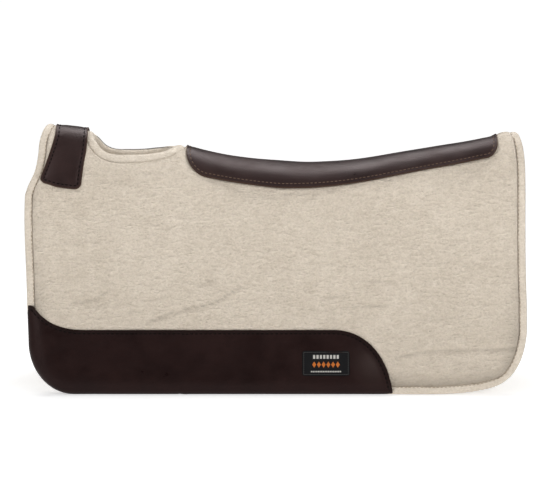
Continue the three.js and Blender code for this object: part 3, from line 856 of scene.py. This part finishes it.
def binding(name, route, sign, inward, half_thick, painted_rim_shade, raised=0.0, closed=False):
    """A felt binding along a route; inward is the way moved() takes it off the edge, raised how far its free
    edge stands up, and the argument before raised how much painted shade darkens its outer rim."""
    width = (LIP_WIDTH if closed else EDGE_WIDTH) + 0.4
    share, depth = np.array(BINDING_PROFILE + [(a, -b) for a, b in BINDING_PROFILE[::-1]]).T
    places = np.stack([moved(route, inward * part * width, closed) for part in share], axis=1)
    thick = (half_thick + undulation(route, 5, 30, 0.25))[:, None]
    rings = pad_point(places, depth * thick + np.reshape(raised, (-1, 1)) * (1 - share), sign)
    # Painted shade along the binding's outer rim.
    rim = np.reshape(painted_rim_shade, (-1, 1)) * ((share < 0.05) & (depth > 0))
    marks = {"rim": rim, "seam": 0.6 * (share > 0.97)}
    marks = {key: np.broadcast_to(value, rings.shape[:2]) for key, value in marks.items()}
    return make_object(name, rings, tube_faces(*rings.shape[:2], closed), EDGE_FELT, **marks)


def edge_bindings(side):
    """The felt binding along the front edge and along the rear and bottom edges of one side.

    Each runs on a little way under the wear leather, where it is pressed thinner."""
    sign = SIDES[side]
    tip, heel = nearest(EDGE, WEAR_RUN[0]), nearest(EDGE, WEAR_RUN[-1])
    # The second value is painted shade on the binding's outer rim: none at the front, dark along the rear
    # and bottom.
    runs = {"front": (EDGE[:tip + HIDDEN_RUN], 0.0), "rear": (EDGE[heel - HIDDEN_RUN:], 0.75)}
    for end, (route, painted_rim_shade) in runs.items():
        step = np.arange(len(route))
        under = step[::-1] if end == "front" else step
        thick = BINDING_HALF_THICK - 2.5 * (1 - smooth((under - 3) / HIDDEN_RUN)) + crest_rise(route)
        piece = binding(f"{side}_{end}_felt_edge", route, sign, -1, thick, painted_rim_shade)
        declare(piece, "felt", side, f"{side}_{end}_binding", f"{end}_crest_binding")
        seam = moved(route, BINDING_SEAM_INSET - EDGE_WIDTH)[under > HIDDEN_RUN]
        thread = stitches(f"{side}_{end}_edge_stitches", seam, sign,
                          lambda p: BINDING_HALF_THICK - 0.4 + crest_rise(p), 6.5, 4.2, 0.5, FELT_THREAD)
        declare(thread, "thread", side, f"{side}_{end}_thread", f"{end}_crest_thread")


# ---- stitches ----

CAPSULE = [(-1, 0.3), (-0.72, 0.95), (0, 1), (0.72, 0.95), (1, 0.3)]
THREAD_CORNERS = 6
THREAD_FLATNESS = 0.8


def stitches(name, route, sign, height, pitch, length, radius, material, closed=False):
    """A row of separate stitches along a route. height(points) is how far out the thread lies."""
    if closed:
        route = np.concatenate([route, route[:1]])
    whole = run_along(route)[-1]
    count = max(2, int(whole / pitch))
    middle = (np.arange(count) + 0.5) / count
    ends = [at_shares(route, middle + k * length / whole / 2) for k in (-1, 1)]
    a, b = (pad_point(end, height(end), sign) for end in ends)
    out = unit(pad_point(ends[0], height(ends[0]) + 1, sign) - a)
    side = unit(np.cross(b - a, out))
    angle = np.linspace(0, 2 * math.pi, THREAD_CORNERS, endpoint=False)[:, None]
    turn = side[:, None] * np.cos(angle) + out[:, None] * np.sin(angle) * THREAD_FLATNESS
    points = np.stack([((a + b) / 2 + (b - a) * t / 2)[:, None] + turn * radius * size * MM
                       for t, size in CAPSULE], axis=1)
    capsule = tube_faces(len(CAPSULE), THREAD_CORNERS)
    faces = [face + k * len(CAPSULE) * THREAD_CORNERS for k in range(count) for face in capsule]
    return make_object(name, points, faces, material)


# ---- leather ----

LEATHER_INSET = 6
EDGE_STEPS = np.array([0, 0.3, 0.9, 2.0, 4.0, 5.8, 7.2, 8.8, 11])


def stations(length, middle, steps=EDGE_STEPS):
    """Distances over a length, close together at both ends where a piece's edge is rounded."""
    inside = np.linspace(steps[-1], length - steps[-1], middle)[1:-1]
    return np.concatenate([steps, inside, length - steps[::-1]])


def crown_leather(name, grid, base, sway, outline, puff, seam, thread, stands_for):
    """A leather piece on the crown that lies at base(places), and its row of stitches along the route seam.

    thread is its stitches' name, pitch, length and material."""
    to_edge = distance_to(grid, outline)
    rim = LEATHER_THICK / 2 * roll(to_edge, 1.0)
    groove = 0.5 * np.exp(-((to_edge - LEATHER_INSET) / 2)**2)
    low = base(grid) + sway * smooth(to_edge / 20)
    high = low + LEATHER_THICK - rim - groove + puff * smooth((to_edge - LEATHER_INSET - 1) / 14)
    edge = np.exp(-(to_edge / 1.5)**2)
    piece = shell(name, pad_point(grid, high), pad_point(grid, low + rim), LEATHER, edge=edge)
    declare(piece, "leather", "crown", stands_for)
    thread_name, pitch, length, material = thread
    row = stitches(thread_name, resampled(seam, step=2), 1, lambda p: base(p) + LEATHER_THICK - 0.2,
                   pitch, length, 0.8, material)
    declare(row, "thread", "crown", stands_for + "_thread")


def spine_half_width(x, inset=0.0):
    """Half of the spine leather's width at x, with its ends rounded."""
    from_front, from_rear = x - SPINE_FRONT - inset, SPINE_REAR - inset - x
    corner = np.where(from_front < from_rear, SPINE_FRONT_CORNER, SPINE_REAR_CORNER) - inset
    short = np.clip(corner - np.minimum(from_front, from_rear), 0, corner)
    return along(SPINE_HALF_WIDTH, x) - inset - corner + np.sqrt(corner**2 - short**2)


def spine_loop(x, inset):
    """Round the spine leather, with its two sides read at the stations x."""
    half = spine_half_width(x, inset)
    return ring(pairs(x, -half), pairs(x, half))


def spine_base(places):
    """How high the spine leather lies: it dips over the seam and towards the opening's binding."""
    x, s = parts(places)
    return LEATHER_BASE - 0.5 * np.exp(-(s / 7)**2) - 1.0 * (1 - smooth((x - SPINE_FRONT) / 16))


def spine_leather():
    """The leather along the spine, with a row of stitches round it."""
    x = SPINE_FRONT + stations(SPINE_REAR - SPINE_FRONT, 100)
    share = stations(2, 27, EDGE_STEPS / 52) - 1
    grid = pairs(x[:, None], spine_half_width(x)[:, None] * share)
    seam_x = np.linspace(SPINE_FRONT + LEATHER_INSET, SPINE_REAR - LEATHER_INSET, 400)
    sway = undulation(grid, 3, 70, 0.25)
    crown_leather("spine_leather_facing", grid, spine_base, sway, spine_loop(x, 0), 0.6,
                  spine_loop(seam_x, LEATHER_INSET), ("spine_stitches", 6.6, 4.0, SPINE_THREAD),
                  "spine_leather")


def strap_base(places):
    """How high the strap lies: it sags at the crest, and dips to the bindings in front of it and behind."""
    x, s = parts(places)
    front, rear = along(STRAP_FRONT, np.abs(s)), along(STRAP_REAR, np.abs(s))
    to_front, to_rear = 1 - smooth((x - front) / 18), 1 - smooth((rear - x) / 18)
    return LEATHER_BASE - 0.6 * np.exp(-(s / 16)**2) - 0.9 * to_front - 1.2 * to_rear


def corner_cut(near_end, corner):
    """How far a rounded corner cuts in, this near the end."""
    return corner - np.sqrt(corner**2 - np.clip(corner - near_end, 0, corner)**2)


def wither_strap():
    """The strap over the withers, in front of the opening."""
    s = stations(2 * STRAP_REACH, 70) - STRAP_REACH
    cut = corner_cut(STRAP_REACH - np.abs(s), STRAP_CORNER)
    front = along(STRAP_FRONT, np.abs(s)) + 1.2 * cut
    rear = along(STRAP_REAR, np.abs(s)) - cut
    steps = EDGE_STEPS / 56
    share = np.unique(np.round(np.concatenate([steps, 1 - steps, np.linspace(0.25, 0.75, 7)]), 4))
    x = front[:, None] + (rear - front)[:, None] * share
    outline = ring(pairs(front, s), pairs(rear, s))
    reach = STRAP_REACH - LEATHER_INSET
    seam_s = np.linspace(-reach, reach, 90)
    seam = ring(pairs(along(STRAP_FRONT, np.abs(seam_s)) + LEATHER_INSET, seam_s),
                pairs(along(STRAP_REAR, np.abs(seam_s)) - LEATHER_INSET, seam_s))
    crown_leather("wither_strap_leather", pairs(x, s[:, None]), strap_base, 0, outline, 0.9,
                  seam, ("wither_strap_stitches", 6.8, 4.2, DARK_THREAD), "wither_strap")


def wear_edge_points():
    """The wear leather's upper edge, from its tip on the front edge to the bottom edge."""
    return on_side(joined(
        curve_points("line", (-401.5, WEAR_TIP), (-391, WEAR_TIP - 1), count=4),
        curve_points("cubic", (-391, WEAR_TIP - 1), (-375, 120), (-355, WEAR_TOP + 1), (-312, WEAR_TOP)),
        curve_points("line", (-312, WEAR_TOP), (95, WEAR_TOP), count=80),
        curve_points("cubic", (95, WEAR_TOP), (142, WEAR_TOP), (182, 68), (WEAR_REAR, 0)),
    ))


WEAR_ROUND = 28
WEAR_OUT = 15.4
# Place and size of the painted highlight on the wear leather.
HIGHLIGHT_X, HIGHLIGHT_Z, HIGHLIGHT_SIZE = 160, 52, 26
SHARES_TO_RIM = 1 - np.array([26, 21, 16, 11.5, 7.5, 4.2, 1.8, 0.45, 0]) / 100
TURN_STEPS = np.array([0.45, 1.8, 4.2, 8, 13, 19, 23.5, 24.6, WEAR_TURN])


def wear_leather(side):
    """The leather round the bottom and front edges of one side, turned up a little way inside."""
    sign = SIDES[side]
    upper, lower = wear_edge_points(), WEAR_RUN
    across = 0.5 - 0.5 * np.cos(np.linspace(0.06, math.pi - 0.06, 150))
    across = 0.35 * across + 0.65 * np.linspace(0.004, 0.996, 150)
    top, bottom = at_shares(upper, across), at_shares(lower, across)
    from_top = np.concatenate([EDGE_STEPS / 100, np.linspace(0.16, 0.68, 16), SHARES_TO_RIM])
    face = top[:, None] + (bottom - top)[:, None] * from_top[:, None]
    inward = unit(at_shares(moved(lower, -1.0), across) - bottom)[:, None]
    turned = bottom[:, None] + inward * TURN_STEPS[:, None]
    grid = np.concatenate([face, turned], axis=1)
    inside = np.arange(grid.shape[1]) >= face.shape[1]
    to_upper, to_rim = distance_to(grid, upper), distance_to(grid, lower)
    to_end = np.minimum(across - across[0], across[-1] - across) * run_along(lower)[-1]
    to_edge = np.where(inside, np.minimum(WEAR_TURN - to_rim, to_end[:, None]), to_upper)
    outside = WEAR_OUT * np.sqrt(np.maximum(1 - (1 - np.minimum(to_rim / WEAR_ROUND, 1))**2, 0))
    rim = LEATHER_THICK / 2 * roll(to_edge, 1.0)
    groove = 0.5 * np.exp(-((to_upper - LEATHER_INSET) / 2)**2)
    puff = 0.5 * smooth((to_upper - LEATHER_INSET - 1) / 16)
    sway = puff + undulation(grid, 41 + sign, 120, 0.9) * smooth(to_upper / 30) * smooth(to_rim / 30)
    way = np.where(inside, 1.0, -1.0)
    outer = pad_point(grid, np.where(inside, -outside, outside + sway - groove) + way * rim, sign)
    hollow = outside * (WEAR_OUT - LEATHER_THICK) / WEAR_OUT
    pull = inward * np.clip(LEATHER_THICK * (1 - to_rim / 14), 0, None)[..., None]
    inner = pad_point(grid + pull, np.where(inside, -hollow, hollow + sway) + way * rim, sign)
    x, s = parts(grid)
    # A painted highlight: a soft lighter patch near the rear end, inside the stitches.
    highlight_patch = np.exp(-((x - HIGHLIGHT_X) / HIGHLIGHT_SIZE)**2 - ((s - side_s(x, HIGHLIGHT_Z)) / HIGHLIGHT_SIZE)**2)
    marks = {
        "edge": 0.5 * np.exp(-(to_edge / 1.1)**2),
        "border": 0.45 * smooth((LEATHER_INSET + 1 - to_upper) / 2) * ~inside,
        "painted_highlight": 0.55 * highlight_patch * smooth((to_upper - LEATHER_INSET) / 10) * ~inside,
    }
    piece = shell(f"{side}_wear_leather_facing", outer, inner, WEAR_LEATHER, **marks)
    declare(piece, "leather", side + "_flap", f"{side}_wear_leather")
    seam = moved(resampled(upper, step=2), LEATHER_INSET)
    seam = seam[seam[:, 1] < side_s(seam[:, 0], 9)]
    seam = seam[distance_to(seam, lower) > 6]

    def on_leather(points):
        rise = np.minimum(distance_to(points, lower) / WEAR_ROUND, 1)
        return WEAR_OUT * np.sqrt(1 - (1 - rise)**2) - 0.2

    thread = stitches(f"{side}_wear_stitches", seam, sign, on_leather, 7.6, 4.6, 0.95, DARK_THREAD)
    declare(thread, "thread", side + "_flap", f"{side}_wear_leather_thread")


LABEL_CORNER = 4
LABEL_BASE, LABEL_THICK = WEAR_OUT + 0.7, 0.9
LABEL_STEPS = np.array([0, 0.15, 0.5, 1.2, 2.4, 4])
LABEL_SEAM_INSET = 2.5


def label(side):
    """The woven label on the wear leather, sewn down round its edge."""
    sign = SIDES[side]
    place = stations(LABEL_WIDTH, 30, LABEL_STEPS)
    x = LABEL_X - LABEL_WIDTH / 2 + place
    cut = corner_cut(np.minimum(place, LABEL_WIDTH - place), LABEL_CORNER)
    rows = stations(LABEL_HEIGHT, 16, LABEL_STEPS) / LABEL_HEIGHT * 2 - 1
    z = LABEL_Z + (LABEL_HEIGHT / 2 - cut)[:, None] * rows
    flat = pairs(x[:, None], z)
    to_edge = distance_to(flat, ring(flat[:, 0], flat[:, -1]))
    rim = LABEL_THICK / 2 * roll(to_edge, 0.6)
    dip = 0.3 * np.exp(-((to_edge - LABEL_SEAM_INSET) / 0.8)**2)
    grid = on_side(flat)
    outer = pad_point(grid, LABEL_BASE + LABEL_THICK - rim - dip, sign)
    inner = pad_point(grid, LABEL_BASE + rim, sign)
    across, up = parts((flat - (LABEL_X, LABEL_Z)) / (LABEL_WIDTH, LABEL_HEIGHT) + 0.5)
    piece = shell(f"{side}_woven_label", outer, inner, LABEL, across=across, up=up)
    declare(piece, "label", side + "_flap", f"{side}_label")
    half = LABEL_WIDTH / 2 - LABEL_SEAM_INSET, LABEL_HEIGHT / 2 - LABEL_SEAM_INSET
    loop = np.array([(-1, -1), (1, -1), (1, 1), (-1, 1), (-1, -1)]) * half + (LABEL_X, LABEL_Z)
    thread = stitches(f"{side}_label_stitches", on_side(resampled(loop, step=1)), sign,
                      lambda p: LABEL_BASE + LABEL_THICK - 0.25, 3.2, 2.3, 0.35, LABEL_THREAD)
    declare(thread, "label_thread", side + "_flap", f"{side}_label_thread")


# ---- the crown's other pieces ----

def opening_binding():
    """The felt binding round the wither opening and its stitches."""
    half_thick, far_lip_rise = 7, 8
    loop = np.concatenate([LIP, (LIP * (1, -1))[::-1][1:-1]])
    loop = resampled(np.concatenate([loop, loop[:1]]), step=3)[:-1]
    far_side = smooth((loop[:, 1] - 10) / 22)
    raised = far_lip_rise * far_side
    # The far lip's rim gets painted shade.
    piece = binding("opening_felt_edge", loop, 1, 1, half_thick, far_side, raised, closed=True)
    declare(piece, "felt", "crown", "opening_binding")
    seam = moved(loop, LIP_WIDTH - BINDING_SEAM_INSET, True)
    thread = stitches("opening_stitches", seam, 1, lambda p: half_thick - 1, 6.5, 4.2, 0.55,
                      FELT_THREAD, closed=True)
    declare(thread, "thread", "crown", "opening_thread")


def seam_tape(where, start, end):
    """Webbing over the crest seam on the inside."""
    half_width, thick = 14, 1.6
    x = start + stations(end - start, 60, np.array([0, 0.3, 1, 3]))
    grid = pairs(x[:, None], half_width * np.linspace(-1, 1, 17))
    to_edge = distance_to(grid, ring(pairs(x[[0, -1]], -half_width), pairs(x[[0, -1]], half_width)))
    rim = thick / 2 * roll(to_edge, thick / 2)
    outer = pad_point(grid, -HALF_THICK - 0.3 - thick + rim)
    inner = pad_point(grid, -HALF_THICK - 0.3 - rim)
    piece = shell(where + "_seam_webbing", outer, inner, TAPE)
    declare(piece, "seam_tape", "crown", where + "_seam_tape")


for side_name in SIDES:
    for build in (top_felt, lining_felt, core_pad, edge_bindings, wear_leather, label):
        build(side_name)
opening_binding()
spine_leather()
wither_strap()
seam_tape("spine", LIP[-1, 0] + LIP_WIDTH + 2, CROWN_REAR[0][1] - EDGE_WIDTH)
seam_tape("wither", CROWN_FRONT[0][1] + EDGE_WIDTH, LIP[0, 0] - LIP_WIDTH - 2)


# ---- floor, light and camera ----

AIM = (0, 0, 0.2364)
CAMERA_AWAY, CAMERA_RISE = 4.0, math.radians(6.5)
CAMERA_LENS = 158.3
FLOOR_SIZE = 60


def pale_floor():
    """A pale floor that reaches to the horizon, faintly lit from within as a light table is."""
    mesh = bpy.data.meshes.new("floor")
    corners = [(-1, -1), (1, -1), (1, 1), (-1, 1)]
    mesh.from_pydata([(FLOOR_SIZE * x, FLOOR_SIZE * y, 0) for x, y in corners], [], [(0, 1, 2, 3)])
    paper = Shader("floor_paper", 1.0, 0.0)
    paper.set("Base Color", (0.8, 0.8, 0.8))
    paper.set("Emission Color", (1, 1, 1))
    away = paper.node("VectorMath", {0: paper.place()}, "Value", operation="LENGTH")
    paper.set("Emission Strength", paper.spread(away, 0.5, 3.5, 0.5, 0.95))
    mesh.materials.append(paper.material)
    floor = bpy.data.objects.new("floor", mesh)
    bpy.context.scene.collection.objects.link(floor)


def softbox(name, place, aim, size, power):
    """A rectangular area light at a place, aimed at another."""
    light = bpy.data.lights.new(name, "AREA")
    light.shape = "RECTANGLE"
    light.size, light.size_y = size
    light.energy = power
    box = bpy.data.objects.new(name, light)
    box.location = place
    box.rotation_euler = (Vector(aim) - Vector(place)).to_track_quat("-Z", "Y").to_euler()
    bpy.context.scene.collection.objects.link(box)


pale_floor()
softbox("right", (1.9, -2.0, 1.4), (0, 0, 0.3), (0.9, 1.4), 25)
softbox("left", (-1.9, -2.0, 1.4), (0, 0, 0.3), (0.9, 1.4), 18)
softbox("overhead", (0.0, 0.6, 1.85), (0, 0, 0.35), (2.2, 0.9), 30)
softbox("front", (0.0, -1.6, 2.2), (0, 0, 0.3), (2.4, 1.6), 8)

world = bpy.data.worlds.new("studio")
bpy.context.scene.world = world
world.use_nodes = True
world.node_tree.nodes["Background"].inputs["Color"].default_value = (1, 1, 1, 1)
world.node_tree.nodes["Background"].inputs["Strength"].default_value = 0.14
bpy.context.scene.view_settings.view_transform = "Standard"

camera = bpy.data.objects.new("camera", bpy.data.cameras.new("camera"))
camera.data.sensor_width = 36
camera.data.lens = CAMERA_LENS
camera.location = (0, -CAMERA_AWAY * math.cos(CAMERA_RISE), AIM[2] + CAMERA_AWAY * math.sin(CAMERA_RISE))
camera.rotation_euler = (Vector(AIM) - camera.location).to_track_quat("-Z", "Y").to_euler()
bpy.context.scene.collection.objects.link(camera)
bpy.context.scene.camera = camera
